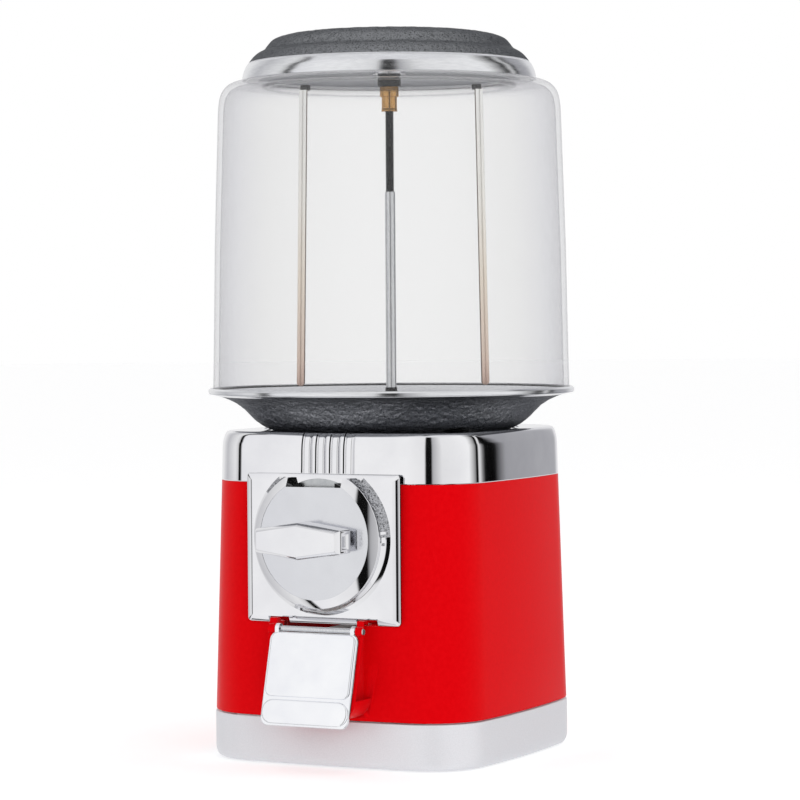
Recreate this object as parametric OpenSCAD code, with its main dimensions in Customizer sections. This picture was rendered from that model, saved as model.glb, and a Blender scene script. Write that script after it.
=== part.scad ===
// Bulk vending head for gumballs: base pan, red housing with a chrome cap, coin mechanism,
// dispensing wheel driven by gears, clear canister and a lockable lid.
// Millimetres, +Z up. The origin is on the standing surface, on the axis of the centre rod.
// The front, with the handle and the door, faces -Y.

/* [Base] */
// Half of the base's width, at the middle of a side
base_half = 86.2; // [80:0.1:95]
// Height of the base's top edge
base_top = 26.6; // [22:0.1:32]
// Radius of the base's corners
base_corner = 35; // [25:1:40]
// How far each side bows outwards
side_bulge = 2.4; // [1:0.1:4]
// Distance between the stand's bolts, both ways
stand_bolt_spacing = 100; // [80:1:110]
// Radius of a hole for a stand bolt
stand_bolt_r = 2.75; // [2:0.05:3.5]

/* [Housing] */
// Height of the painted housing's top edge
housing_top = 157; // [150:1:160]
// Half of the housing's width at its top edge
housing_top_half = 82.5; // [80:0.1:84]
// Height of the cap's flat top
cap_top = 184; // [182:0.5:186]
// Thickness of the housing's and the cap's walls
housing_wall = 3; // [2.5:0.1:3.5]

/* [Hopper and canister] */
// Radius of the hopper's flange
flange_r = 104.8; // [103.5:0.1:108]
// Height of the canister's foot
canister_foot = 208; // [208:0.1:209]
// Outer radius of the canister at its foot
canister_r = 102; // [101:0.1:102.2]
// Thickness of the canister's wall
canister_wall = 3; // [2:0.1:3.5]
// Overall height, to the top of the lid
total_h = 410; // [409:0.5:412]

/* [Coin mechanism] */
// Height of the handle's shaft
shaft_z = 127; // [126.5:0.5:127.5]
// Diameter of the coins
coin_d = 24.3; // [21:0.1:25]
// Width of the face plate
plate_w = 95.2; // [92:0.1:97]
// Height of the face plate
plate_h = 82.6; // [81:0.1:83]
// Length of the handle
handle_l = 52.4; // [46:0.1:56]

/* [Gears and wheel] */
// Gear module
gear_module = 1.55; // [1.55:0.01:1.56]
// Number of pockets in the wheel
pocket_count = 6; // [6:1:6]
// Radius of a pocket
pocket_r = 12.7; // [12:0.1:12.7]

/* [Door] */
// Width of the door flap
door_w = 54.4; // [50:0.1:55]
// Height of the door's hinge pin
door_pin_z = 77; // [76.5:0.1:77.5]

/* [Hidden] */
$fn = 96;

eps = 0.01;
foot_h = 0.8;
floor_top = 4;
base_wall = 3.5;
housing_bottom_half = base_half - 0.3;
housing_corner = base_corner - 0.3;
top_corner = 33.5;
cap_rim_top = cap_top + 0.8;
cap_round = 6;
rib_w = 4.8;
rib_places = [-10.1, -1.4, 7.3, 16];
plate_front = 86;
plate_t = 3;
plate_top = 162.4;
plate_bottom = plate_top - plate_h;
boss_r = 38.7;
disc_r = 33.4;
boss_front = 92.5;
disc_front = 95.5;
front_wall_back = 91.6;
coin_slot_front = 91.3;
coin_slot_back = 88.1;
cavity_r = 33;
slot_lip_z = shaft_z + 28.5;
slot_back_z = shaft_z + 33.5;
shaft_r = 4;
shaft_end_r = 3;
fit_gap = 0.05;
back_plate_front = 52;
back_plate_t = 2;
gear_y = 37.2;
gear_face = 4.5;
pinion_teeth = 8;
idler_teeth = 36;
wheel_teeth = 48;
pressure_angle = 25;
tooth_addendum = 0.75;
tooth_dedendum = 1.05;
pinion_pitch_r = gear_module * pinion_teeth / 2;
idler_pitch_r = gear_module * idler_teeth / 2;
wheel_pitch_r = gear_module * wheel_teeth / 2;
idler_z = shaft_z + pinion_pitch_r + idler_pitch_r;
crown_z = idler_z + idler_pitch_r;
rod_r = 2.95;
stud_r = 2.5;
plug_r = 4.8;
stud_bottom = 320;
rod_top = 380;
bowl_floor = cap_top + 2.2;
wheel_bottom = bowl_floor + 1.2;
wheel_top = 203;
wheel_r = 69.3;
hub_r = 7;
pocket_ring_r = 55.2;
outlet_angle = 60;
outlet_x = pocket_ring_r * sin(outlet_angle);
outlet_y = -pocket_ring_r * cos(outlet_angle);
chute_half = 17;
chute_wall = 1.5;
chute_bend_top = 84;
chute_bend_bottom = 60;
mouth_half = 24.6;
mouth_bottom = 31;
mouth_top = 72;
door_pin_y = 92.5;
door_pin_r = 1.6;
cheek_inner = 25;
cheek_t = 4.3;
door_tilt = 15.3;
rail_centre_angle = 27.7;
rail_half_angle = 31.1;
rail_lean = 1.75;
rail_w = 4.6;
rail_t = 1.6;
mouth_r = 70;
mouth_top_z = 383;
lid_bottom = 383.4;
lid_r = 84;
lock_bottom = 387;
nut_bottom = 365.8;

// Outline of a square with bowed sides and round corners, counter-clockwise from above.
function side_radius(core, bulge) = (core * core + bulge * bulge) / (2 * bulge);
function core_corner(radius, core) =
    let (k = radius - core) (sqrt(2 * radius * radius - k * k) - k) / 2;
function bowed_square(half, corner, bulge = side_bulge, side_steps = 6, corner_steps = 8) =
    let (
        core = half - corner,
        radius = side_radius(core, bulge),
        centre = radius - core,
        reach = core_corner(radius, core),
        spread = atan2(reach, reach + centre))
    [for (side = [0:3])
        let (
            arc = [for (i = [0:side_steps])
                let (a = spread * (2 * i / side_steps - 1))
                [(radius + corner) * sin(a), centre - (radius + corner) * cos(a)]],
            bend = [for (i = [1:corner_steps - 1])
                let (a = spread - 90 + (90 - 2 * spread) * i / corner_steps)
                [reach + corner * cos(a), corner * sin(a) - reach]])
        each [for (p = concat(arc, bend))
            [p[0] * cos(90 * side) - p[1] * sin(90 * side),
             p[0] * sin(90 * side) + p[1] * cos(90 * side)]]];
function ring(half, corner, z) = [for (p = bowed_square(half, corner)) [p[0], p[1], z]];

// Closed skin over a stack of rings that have the same number of points.
module skin(rings) {
    n = len(rings[0]);
    last = len(rings) - 1;
    polyhedron(
        points = [for (level = rings) each level],
        faces = concat(
            [[for (i = [0:n - 1]) i]],
            [[for (i = [n - 1:-1:0]) last * n + i]],
            [for (k = [0:last - 1], i = [0:n - 1])
                [k * n + i, (k + 1) * n + i, (k + 1) * n + (i + 1) % n, k * n + (i + 1) % n]]));
}

// Half width of the housing's outside at a height.
function housing_half(z) = housing_bottom_half
    + (housing_top_half - housing_bottom_half) * (z - base_top) / (housing_top - base_top);

// Solid cylinder along Y from a front to a back distance, both measured towards the front.
module along_y(r, front, back, x = 0, z = 0) {
    translate([x, -back, z]) rotate([90, 0, 0]) cylinder(r = r, h = front - back);
}
// Box from corner to corner.
module block(low, high) {
    translate(low) cube(high - low);
}
module four_corners(x, y) {
    for (sx = [-1, 1], sy = [-1, 1]) translate([sx * x, sy * y, 0]) children();
}

// Involute gear outline, with a tooth centred on the angle turn.
function involute(angle) = tan(angle) - angle * PI / 180;
function tooth_half_angle(r, pitch_r, base_r, teeth, backlash) =
    let (
        at = acos(min(1, base_r / max(r, base_r))),
        half = PI / (2 * teeth) - backlash / (2 * pitch_r) + involute(pressure_angle) - involute(at))
    half * 180 / PI;
function gear_outline(teeth, turn, backlash = 0.16) =
    let (
        pitch_r = gear_module * teeth / 2,
        base_r = pitch_r * cos(pressure_angle),
        tip_r = pitch_r + tooth_addendum * gear_module,
        root_r = pitch_r - tooth_dedendum * gear_module,
        levels = [root_r, max(base_r, root_r + 0.1), (base_r + pitch_r) / 2, pitch_r,
            (pitch_r + tip_r) / 2, tip_r],
        flank = [for (r = levels) [r, tooth_half_angle(r, pitch_r, base_r, teeth, backlash)]],
        last = len(levels) - 1)
    [for (i = [0:teeth - 1])
        let (mid = turn + 360 * i / teeth)
        each concat(
            [for (k = [0:last]) flank[k][0] * [cos(mid - flank[k][1]), sin(mid - flank[k][1])]],
            [for (k = [last:-1:0]) flank[k][0] * [cos(mid + flank[k][1]), sin(mid + flank[k][1])]])];

module base_pan() {
    color("gainsboro") difference() {
        union() {
            difference() {
                skin([
                    ring(base_half - 3.2, base_corner - 3.2, foot_h),
                    ring(base_half - 0.9, base_corner - 0.9, foot_h + 2.4),
                    ring(base_half, base_corner, foot_h + 6),
                    ring(base_half, base_corner, base_top - 0.3)]);
                skin([
                    ring(base_half - base_wall - 4, base_corner - base_wall - 3, floor_top),
                    ring(base_half - base_wall, base_corner - base_wall, floor_top + 6),
                    ring(base_half - base_wall, base_corner - base_wall, base_top + 1)]);
            }
            // Locating rib that the housing drops over
            difference() {
                skin([
                    ring(base_half - base_wall - eps, base_corner - base_wall, base_top - 8),
                    ring(base_half - base_wall - eps, base_corner - base_wall, base_top + 3)]);
                skin([
                    ring(base_half - base_wall - 2, base_corner - base_wall - 2, base_top - 9),
                    ring(base_half - base_wall - 2, base_corner - base_wall - 2, base_top + 4)]);
                block([-60, -100, base_top - 0.4], [60, -60, base_top + 5]);
            }
            translate([0, 0, foot_h + eps]) cylinder(r = 14, h = 11);
        }
        // Bore for the rod and a pocket for its lower nut
        translate([0, 0, -1]) cylinder(r = rod_r, h = 20);
        translate([0, 0, -1]) cylinder(r = 8, h = 7);
        four_corners(stand_bolt_spacing / 2, stand_bolt_spacing / 2)
            translate([0, 0, -1]) cylinder(r = stand_bolt_r, h = 20);
        // Seats for the feet
        four_corners(62, 62) translate([0, 0, -1]) cylinder(r = 7, h = 3);
    }
}

module rubber_feet() {
    color("dimgray") four_corners(62, 62) cylinder(r = 6.9, h = 2);
}

module centre_rod() {
    color("silver") difference() {
        translate([0, 0, 1.5]) cylinder(r = rod_r, h = stud_bottom - 1.5);
        translate([0, 0, stud_bottom - 12]) cylinder(r = stud_r, h = 13);
    }
}

module rod_stud() {
    color("dimgray") translate([0, 0, stud_bottom - 12])
        cylinder(r = stud_r, h = rod_top - stud_bottom + 12);
}

module hex_nut(across, h, bore) {
    difference() {
        cylinder(r = across / 2 / cos(30), h = h, $fn = 6);
        translate([0, 0, -1]) cylinder(r = bore, h = h + 2);
    }
}

module rod_nuts() {
    color("silver") {
        translate([0, 0, 1.6]) hex_nut(10, 4.4, rod_r);
        translate([0, 0, foot_h + 11 + eps]) hex_nut(10, 5, rod_r);
    }
}

module rod_ferrule() {
    color("dimgray") translate([0, 0, 203]) difference() {
        cylinder(r = 3.4, h = 5);
        translate([0, 0, -1]) cylinder(r = rod_r, h = 7);
    }
}

module cheek() {
    rotate([90, 0, 90]) linear_extrude(height = cheek_t)
        polygon([
            [-82.5, 29], [-106, 29], [-94.2, 72.5], [-door_pin_y, door_pin_z],
            [-door_pin_y, 82.8], [-88.4, 82.8], [-87.6, 80.6], [-82.5, 80.6]]);
    rotate([90, 0, 90]) translate([-door_pin_y, door_pin_z]) cylinder(r = 2.7, h = cheek_t);
}

module body_housing() {
    color("red") difference() {
        union() {
            difference() {
                skin([
                    ring(housing_bottom_half, housing_corner, base_top),
                    ring(housing_top_half, top_corner, housing_top)]);
                skin([
                    ring(housing_half(base_top - 2) - housing_wall, housing_corner - housing_wall,
                        base_top - 2),
                    ring(housing_half(housing_top + 2) - housing_wall, top_corner - housing_wall,
                        housing_top + 2)]);
                // Flat seat for the face plate
                block([-plate_w / 2 - 0.4, -100, plate_bottom - 0.3],
                    [plate_w / 2 + 0.4, plate_t - plate_front + 0.1, housing_top + 1]);
            }
            for (side = [0, 1]) mirror([side, 0, 0]) translate([cheek_inner, 0, 0]) cheek();
            block([-cheek_inner - 1, -105.5, 28.6], [cheek_inner + 1, -82, 30.8]);
        }
        block([-cheek_inner, -100, 30.8], [cheek_inner, -70, 80.6]);
        block([-44, -100, 84], [44, -60, housing_top + 1]);
        translate([-40, -door_pin_y, door_pin_z]) rotate([0, 90, 0])
            cylinder(r = door_pin_r, h = 80);
    }
}

module cap_rib(x) {
    hull() {
        translate([x - rib_w / 2, -83.9, 163]) cube([rib_w, 3, 18]);
        translate([x - rib_w / 2 + 0.5, -84.6, 163.4]) cube([rib_w - 1, 3, 16.6]);
        translate([x - rib_w / 2, -80.4, 180]) cube([rib_w, 3, 4.5]);
    }
}

module body_cap() {
    inner_half = housing_top_half - housing_wall;
    color("lightgray") difference() {
        union() {
            skin(concat(
                [ring(housing_top_half, top_corner, housing_top)],
                [for (i = [0:5])
                    let (a = 90 * i / 5, inset = 0.6 + cap_round * (1 - cos(a)))
                    ring(housing_top_half - inset, top_corner - inset,
                        cap_rim_top - cap_round * (1 - sin(a)))]));
            for (x = rib_places) cap_rib(x);
        }
        skin([
            ring(inner_half, top_corner - housing_wall, housing_top - 1),
            ring(inner_half - 1, top_corner - housing_wall - 1, cap_top - 5),
            ring(inner_half - 4, top_corner - housing_wall - 4, cap_top - 2.5)]);
        translate([0, 0, cap_top - 10]) cylinder(r = 60, h = 20);
        // Seat for the hopper, inside a raised rim
        translate([0, 0, cap_top]) cylinder(r = 73.4, h = 10);
        block([outlet_x - chute_half - 0.3, outlet_y - chute_half - 0.3, cap_top - 10],
            [outlet_x + chute_half + 0.3, outlet_y + chute_half + 0.3, cap_top + eps]);
        block([-44, -100, housing_top - 1], [44, -60, plate_top - 0.3]);
    }
}

module hopper_bowl() {
    color("gray") difference() {
        rotate_extrude() polygon([
            [3.7, cap_top], [67, cap_top], [68.5, 184.7], [73.2, 186.4], [77.2, 189],
            [80.7, 192.3], [84.9, 196.5], [89.6, 199.9], [95.3, 202.6], [flange_r, 205],
            [flange_r, 207.2], [flange_r - 1, 208.3], [102.7, 208.3], [102.7, 207],
            [97.2, 207], [93, 205.2], [87, 202.2], [82, 198], [78, 194], [74, 190],
            [70.8, 187.8], [70.8, bowl_floor], [16, bowl_floor], [16, wheel_bottom - 0.1],
            [hub_r, wheel_bottom - 0.1], [hub_r, 203.6], [5.5, 204.4], [3.7, 204.4]]);
        translate([outlet_x, outlet_y, cap_top - 5]) cylinder(r = 14, h = 10);
        block([-20, -gear_y - 4, cap_top - 5], [20, -gear_y + 4, cap_top + 5]);
    }
}

module outlet_guard() {
    color("silver") rotate([0, 0, -90 + outlet_angle]) {
        difference() {
            rotate([0, 0, -19]) rotate_extrude(angle = 38)
                polygon([[37, 204], [80, 204], [88, 204], [88, 206], [37, 206]]);
            translate([82, 0, 200]) cylinder(r = 1.6, h = 10);
        }
        translate([82, 0, 200.9]) difference() {
            cylinder(r = 3, h = 3.1);
            translate([0, 0, -1]) cylinder(r = 1.6, h = 6);
        }
    }
}

module canister_gasket() {
    color("black") translate([0, 0, 207]) difference() {
        cylinder(r = 102.6, h = 0.7);
        translate([0, 0, -1]) cylinder(r = 98, h = 3);
    }
}

module chute_space(grow, top, past_mouth) {
    low = [outlet_x - chute_half + chute_wall - grow, outlet_y - chute_half + chute_wall - grow, 0];
    high = [outlet_x + chute_half - chute_wall + grow, outlet_y + chute_half - chute_wall + grow, 0];
    mouth_x = mouth_half - chute_wall + grow;
    mouth_low = mouth_bottom + chute_wall - grow;
    mouth_high = mouth_top - chute_wall + grow;
    block([low[0], low[1], chute_bend_bottom], [high[0], high[1], top]);
    block([-mouth_x, -84.3 - past_mouth, mouth_low], [mouth_x, -78, mouth_high]);
    hull() {
        block([low[0], low[1], chute_bend_bottom - grow], [high[0], high[1], chute_bend_top]);
        block([-mouth_x, -79, mouth_low], [mouth_x, -78, mouth_high]);
    }
}

module ball_chute() {
    color("whitesmoke") difference() {
        chute_space(chute_wall, cap_top - 0.2, 0);
        chute_space(0, cap_top + 5, 3);
    }
}

module face_plate() {
    color("lightgray") difference() {
        union() {
            // Plate with a bevelled border
            hull() {
                block([-plate_w / 2, plate_t - plate_front - 1.4, plate_bottom],
                    [plate_w / 2, plate_t - plate_front, plate_top]);
                block([-plate_w / 2 + 4, -plate_front, plate_bottom + 4],
                    [plate_w / 2 - 4, plate_t - plate_front, plate_top - 4]);
            }
            intersection() {
                union() {
                    along_y(boss_r, boss_front, plate_front - plate_t, 0, shaft_z);
                    translate([0, -boss_front, shaft_z]) rotate([90, 0, 0])
                        cylinder(r1 = boss_r, r2 = disc_r, h = disc_front - boss_front);
                }
                block([-50, -110, 0], [50, -70, slot_back_z]);
            }
            for (sx = [-1, 1], z = [97, 157]) along_y(5, plate_front - 1, 80, sx * 37, z);
        }
        along_y(cavity_r, front_wall_back, 70, 0, shaft_z);
        along_y(shaft_r + fit_gap, 120, 70, 0, shaft_z);
        block([-17, -110, slot_lip_z], [17, -coin_slot_back, 180]);
        block([-coin_d / 2 - 1, -coin_slot_front, shaft_z + 10], [coin_d / 2 + 1, -coin_slot_back, 180]);
        for (side = [0, 1]) mirror([side, 0, 0])
            block([21, -100, plate_bottom - 5], [34, -70, 82.9]);
    }
}

module coin_backing_plate() {
    color("silver") difference() {
        along_y(cavity_r - 0.05, 87.8, 85.8, 0, shaft_z);
        along_y(shaft_r + 0.4, 90, 80, 0, shaft_z);
        block([-14, -90, shaft_z - 40], [14, -80, shaft_z - 12]);
        block([14, -90, shaft_z + 13], [22, -80, shaft_z + 22]);
    }
}

module mech_back_plate() {
    color("silver") difference() {
        block([-42, -back_plate_front, 92], [42, -back_plate_front + back_plate_t, 174]);
        along_y(shaft_r + fit_gap, 60, 40, 0, shaft_z);
        along_y(3, 60, 40, 0, idler_z);
        for (sx = [-1, 1], z = [97, 157]) along_y(1.7, 60, 40, sx * 37, z);
        for (x = [-26, 26]) along_y(1.5, 60, 40, x, shaft_z + (x < 0 ? -22 : 22));
    }
}

module mech_spacers() {
    color("silver") for (sx = [-1, 1], z = [97, 157]) difference() {
        along_y(3.5, 80, back_plate_front, sx * 37, z);
        along_y(1.7, 64, 50, sx * 37, z);
    }
}

module mech_screws() {
    color("dimgray") for (sx = [-1, 1], z = [97, 157]) {
        along_y(1.7, 62, back_plate_front - back_plate_t, sx * 37, z);
        difference() {
            along_y(3, back_plate_front - back_plate_t, back_plate_front - back_plate_t - 2, sx * 37, z);
            block([sx * 37 - 4, -48.8, z - 0.4], [sx * 37 + 4, -47, z + 0.4]);
        }
    }
}

module mech_clamps() {
    color("silver") for (side = [0, 1]) mirror([side, 0, 0]) difference() {
        union() {
            block([38, -76.8, 118], [51, -74.4, 136]);
            block([38, -82.6, 118], [42, -76.8 + eps, 136]);
        }
        along_y(2, 90, 70, 45, shaft_z);
    }
}

module idler_stud() {
    color("silver") {
        along_y(3, back_plate_front, 31.5, 0, idler_z);
        along_y(5, back_plate_front - back_plate_t, gear_y + gear_face / 2 + 0.4, 0, idler_z);
        along_y(5, 34.2, 32, 0, idler_z);
    }
}

module pawl_pins() {
    color("silver") for (x = [-26, 26])
        along_y(1.5, 82, back_plate_front - back_plate_t, x, shaft_z + (x < 0 ? -22 : 22));
}

module pawl_spring() {
    color("silver") translate([-26, 0, shaft_z - 22]) {
        for (i = [0:3]) translate([0, -70 + 1.4 * i, 0]) rotate([90, 0, 0])
            rotate_extrude() translate([2.4, 0]) circle(r = 0.45, $fn = 16);
        block([-2.8, -70, -0.4], [-2, -65.8, 0.4]);
        block([-10, -70.4, 1.9], [0, -69.6, 2.7]);
    }
}

module door_pin() {
    color("lightgray") translate([-cheek_inner - cheek_t, -door_pin_y, door_pin_z])
        rotate([0, 90, 0]) cylinder(r = door_pin_r, h = 2 * (cheek_inner + cheek_t));
}

module handle() {
    half = handle_l / 2;
    color("lightgray") union() {
        hull() {
            translate([0, -101.5, shaft_z]) rotate([90, 0, 0]) linear_extrude(height = 12)
                polygon([[-half, -6.4], [0, -10.2], [half, -6.4], [half, 6.4], [0, 10.2], [-half, 6.4]]);
            translate([0, -100.5, shaft_z]) rotate([90, 0, 0]) linear_extrude(height = 16)
                polygon([[-half + 2, -4.6], [0, -8.2], [half - 2, -4.6],
                    [half - 2, 4.6], [0, 8.2], [-half + 2, 4.6]]);
        }
        along_y(8, 101, disc_front + 0.4, 0, shaft_z);
    }
}

module handle_shaft() {
    color("silver") {
        along_y(shaft_r, disc_front + 0.4, 41, 0, shaft_z);
        along_y(shaft_end_r, 41 + eps, 32, 0, shaft_z);
    }
}

module coin_carrier() {
    color("gold") difference() {
        along_y(cavity_r - 0.4, coin_slot_front, coin_slot_back + 0.1, 0, shaft_z);
        along_y(shaft_r, 95, 80, 0, shaft_z);
        along_y(coin_d / 2 + 0.5, 95, 80, 0, shaft_z + 21);
        block([-coin_d / 2 + 1, -95, shaft_z + 26], [coin_d / 2 - 1, -80, shaft_z + 40]);
    }
}

module ratchet_wheel() {
    teeth = 12;
    tip_r = 18;
    root_r = 14.5;
    color("silver") difference() {
        translate([0, -74, shaft_z]) rotate([90, 0, 0]) linear_extrude(height = 4)
            polygon([for (i = [0:teeth - 1], k = [0:2])
                let (a = 360 / teeth * (i + [0, 0.9, 0.95][k]), r = [root_r, tip_r, tip_r - 1][k])
                r * [cos(a), sin(a)]]);
        along_y(shaft_r, 90, 60, 0, shaft_z);
    }
}

module drive_pinion() {
    color("gold") translate([0, -gear_y + gear_face / 2 + 0.4, shaft_z]) rotate([90, 0, 0])
        difference() {
            linear_extrude(height = gear_face + 0.8) polygon(gear_outline(pinion_teeth, 90));
            translate([0, 0, -1]) cylinder(r = shaft_end_r, h = gear_face + 3);
        }
}

module shaft_clip() {
    color("dimgray") difference() {
        along_y(6.5, 49.6, 47.6, 0, shaft_z);
        along_y(shaft_r, 60, 40, 0, shaft_z);
    }
}

module idler_gear() {
    color("gold") difference() {
        translate([0, -gear_y + gear_face / 2, idler_z]) rotate([90, 0, 0])
            linear_extrude(height = gear_face) polygon(gear_outline(idler_teeth, 5));
        along_y(3 + fit_gap, 60, 20, 0, idler_z);
        for (a = [0:60:300]) along_y(5, 60, 20, 16 * cos(a), idler_z + 16 * sin(a));
    }
}

module gumball_wheel() {
    color("white") difference() {
        union() {
            translate([0, 0, wheel_bottom]) cylinder(r = wheel_r, h = wheel_top - 2 - wheel_bottom);
            translate([0, 0, wheel_top - 2 - eps]) cylinder(r1 = wheel_r, r2 = wheel_r - 2, h = 2);
        }
        translate([0, 0, wheel_bottom - 1]) cylinder(r = hub_r + fit_gap, h = 30);
        for (i = [0:pocket_count - 1]) rotate([0, 0, i * 360 / pocket_count + outlet_angle - 90])
            translate([pocket_ring_r, 0, wheel_bottom - 1]) cylinder(r = pocket_r, h = 30);
        translate([0, 0, wheel_bottom - 1]) difference() {
            cylinder(r = wheel_pitch_r + 4.3, h = crown_z + 4 - wheel_bottom + 1);
            translate([0, 0, -1]) cylinder(r = wheel_pitch_r - 4, h = 30);
        }
    }
}

module wheel_gear() {
    tip_z = crown_z - tooth_addendum * gear_module;
    root_z = crown_z + 1.5;
    slope = tan(pressure_angle);
    half_pitch_width = 0.72;
    color("gold") {
        difference() {
            translate([0, 0, root_z]) cylinder(r = wheel_pitch_r + 4.2, h = crown_z + 3.9 - root_z);
            translate([0, 0, root_z - 1]) cylinder(r = wheel_pitch_r - 3.9, h = 6);
        }
        for (i = [0:wheel_teeth - 1]) rotate([0, 0, i * 360 / wheel_teeth])
            translate([0, -wheel_pitch_r + 2.8, 0]) rotate([90, 0, 0]) linear_extrude(height = 5.6)
                polygon([
                    [-half_pitch_width - slope * (root_z + 0.1 - crown_z), root_z + 0.1],
                    [-half_pitch_width + slope * (crown_z - tip_z), tip_z],
                    [half_pitch_width - slope * (crown_z - tip_z), tip_z],
                    [half_pitch_width + slope * (root_z + 0.1 - crown_z), root_z + 0.1]]);
    }
}

module ratchet_pawl() {
    color("silver") difference() {
        union() {
            along_y(3.2, 77.6, 74.4, -26, shaft_z - 22);
            translate([-26, -74.4, shaft_z - 22]) rotate([90, 0, 0]) linear_extrude(height = 3.2)
                polygon([[-3, 0], [9.4, 7.8], [12.4, 8.4], [3, -1]]);
        }
        along_y(1.5 + fit_gap, 90, 60, -26, shaft_z - 22);
    }
}

module coin_pawl() {
    color("silver") difference() {
        union() {
            along_y(3.2, 81, 78, 26, shaft_z + 22);
            translate([26, -78, shaft_z + 22]) rotate([90, 0, 0]) linear_extrude(height = 3)
                polygon([[0, 3], [-8, -2], [-10, -5], [-6, -5.4], [0, -3]]);
            along_y(1.2, 86.9, 80, 18, shaft_z + 18.2);
        }
        along_y(1.5 + fit_gap, 90, 60, 26, shaft_z + 22);
    }
}

module door_panel(w, h, t, r) {
    hull() for (sx = [-1, 1], sz = [-1, 1])
        translate([sx * (w / 2 - r), 0, sz * (h / 2 - r)]) rotate([90, 0, 0])
            cylinder(r = r, h = t, $fn = 32);
}

module door_flap() {
    color("lightgray") difference() {
        union() {
            translate([0, -door_pin_y - 1, door_pin_z]) rotate([-door_tilt, 0, 0]) {
                translate([0, 0, -27.8]) door_panel(door_w, 52, 1.4, 4.5);
                translate([0, -1.2, -20]) door_panel(door_w - 2.4, 35.6, 1.4, 4);
                translate([0, -1.2, -46.1]) door_panel(door_w - 1, 13.6, 1.6, 6.5);
            }
            for (side = [0, 1]) mirror([side, 0, 0]) {
                translate([22.2, -door_pin_y, door_pin_z]) rotate([0, 90, 0])
                    cylinder(r = 2.8, h = 2.4);
                translate([22.2, -door_pin_y - 2.8, door_pin_z - 5]) cube([2.4, 2.4, 5]);
            }
        }
        translate([-40, -door_pin_y, door_pin_z]) rotate([0, 90, 0])
            cylinder(r = door_pin_r + fit_gap, h = 80);
    }
}

module canister() {
    w = canister_wall;
    color("azure", 0.35) rotate_extrude() polygon([
        [canister_r - w, canister_foot], [canister_r, canister_foot], [100.5, 287],
        [98.2, 360], [97.8, 368], [96.9, 374], [94.9, 378.2], [91.6, 381.2], [86.5, 382.8],
        [mouth_r, mouth_top_z], [mouth_r, mouth_top_z - w], [86, mouth_top_z - w - 0.2],
        [89.6, 378.6], [92.2, 376.2], [93.9, 372.8], [94.8, 368], [95.2, 360], [97.5, 287]]);
}

module label_rails() {
    color("seashell") for (side = [-1, 1])
        rotate([0, 0, rail_centre_angle - 90 + side * rail_half_angle]) {
            translate([98.6, -rail_w / 2, 211]) rotate([0, -rail_lean, 0])
                translate([-rail_t, 0, 0]) cube([rail_t, rail_w, 162]);
        }
}

module lid() {
    color("darkgray") difference() {
        rotate_extrude() polygon([
            [0, total_h], [50, total_h], [60, total_h - 0.9], [65, 407.5], [69, 404.2],
            [71.5, 400.7], [72.6, 400], [77, 397.2], [81.4, 392], [lid_r, 386], [lid_r, lid_bottom],
            [81.6, lid_bottom], [81.6, 385.4], [79.2, 390.8], [75.4, 395], [71, 397.6], [67, 402],
            [63.6, 404.9], [59, 406.6], [50, 407.4], [20, 407.4], [20, 398], [0, 398]]);
        translate([0, 0, total_h - 5]) cylinder(r = 15, h = 10);
        translate([0, 0, 390]) cylinder(r = 9.5, h = 30);
    }
}

module lid_gasket() {
    color("black") translate([0, 0, lid_bottom]) difference() {
        cylinder(r = 81.6, h = 1.6);
        translate([0, 0, -1]) cylinder(r = 75, h = 5);
    }
}

module mouth_seal() {
    inner = mouth_r - 1.6;
    color("black") difference() {
        translate([0, 0, mouth_top_z - canister_wall - 0.8]) cylinder(r = 72.5, h = canister_wall + 0.8);
        translate([0, 0, 370]) cylinder(r = inner, h = 20);
        translate([0, 0, mouth_top_z - canister_wall - 0.1]) difference() {
            cylinder(r = 80, h = 10);
            translate([0, 0, -1]) cylinder(r = mouth_r, h = 20);
        }
    }
}

module lock_cylinder() {
    color("silver") difference() {
        union() {
            translate([0, 0, lock_bottom]) cylinder(r = 9.5, h = 405.5 - lock_bottom);
            translate([0, 0, total_h - 5]) cylinder(r = 12, h = 1.8);
        }
        translate([0, 0, lock_bottom - 1]) cylinder(r = plug_r + fit_gap, h = 40);
    }
}

module lock_plug() {
    color("gold") difference() {
        translate([0, 0, lock_bottom]) cylinder(r = plug_r, h = total_h - 3.6 - lock_bottom);
        block([-0.6, -3.4, 400], [0.6, 3.4, total_h]);
    }
}

module lock_collar() {
    color("dimgray") difference() {
        translate([0, 0, 380.2]) cylinder(r = 6.65, h = lock_bottom - 380.2);
        translate([0, 0, 379]) cylinder(r = plug_r - 0.1 + fit_gap, h = 10);
    }
}

module lock_nut() {
    color("goldenrod") difference() {
        union() {
            translate([0, 0, nut_bottom]) cylinder(r = 4.4, h = lock_bottom - nut_bottom);
            translate([0, 0, 374]) cylinder(r = 5.4, h = 380.2 - 374);
            translate([0, 0, 380]) cylinder(r = plug_r - 0.1, h = lock_bottom - 380);
        }
        translate([0, 0, nut_bottom - 5]) cylinder(r = stud_r + 0.08, h = rod_top + 7 - nut_bottom);
    }
}

base_pan();
rubber_feet();
centre_rod();
rod_stud();
rod_nuts();
rod_ferrule();
body_housing();
body_cap();
hopper_bowl();
outlet_guard();
canister_gasket();
ball_chute();
face_plate();
coin_backing_plate();
mech_back_plate();
mech_spacers();
mech_screws();
mech_clamps();
idler_stud();
pawl_pins();
pawl_spring();
door_pin();
handle();
handle_shaft();
coin_carrier();
ratchet_wheel();
drive_pinion();
shaft_clip();
idler_gear();
gumball_wheel();
wheel_gear();
ratchet_pawl();
coin_pawl();
door_flap();
canister();
label_rails();
mouth_seal();
lid();
lid_gasket();
lock_cylinder();
lock_collar();
lock_plug();
lock_nut();
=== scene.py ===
import math

import bmesh
import bpy
from mathutils import Matrix, Vector, noise


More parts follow.
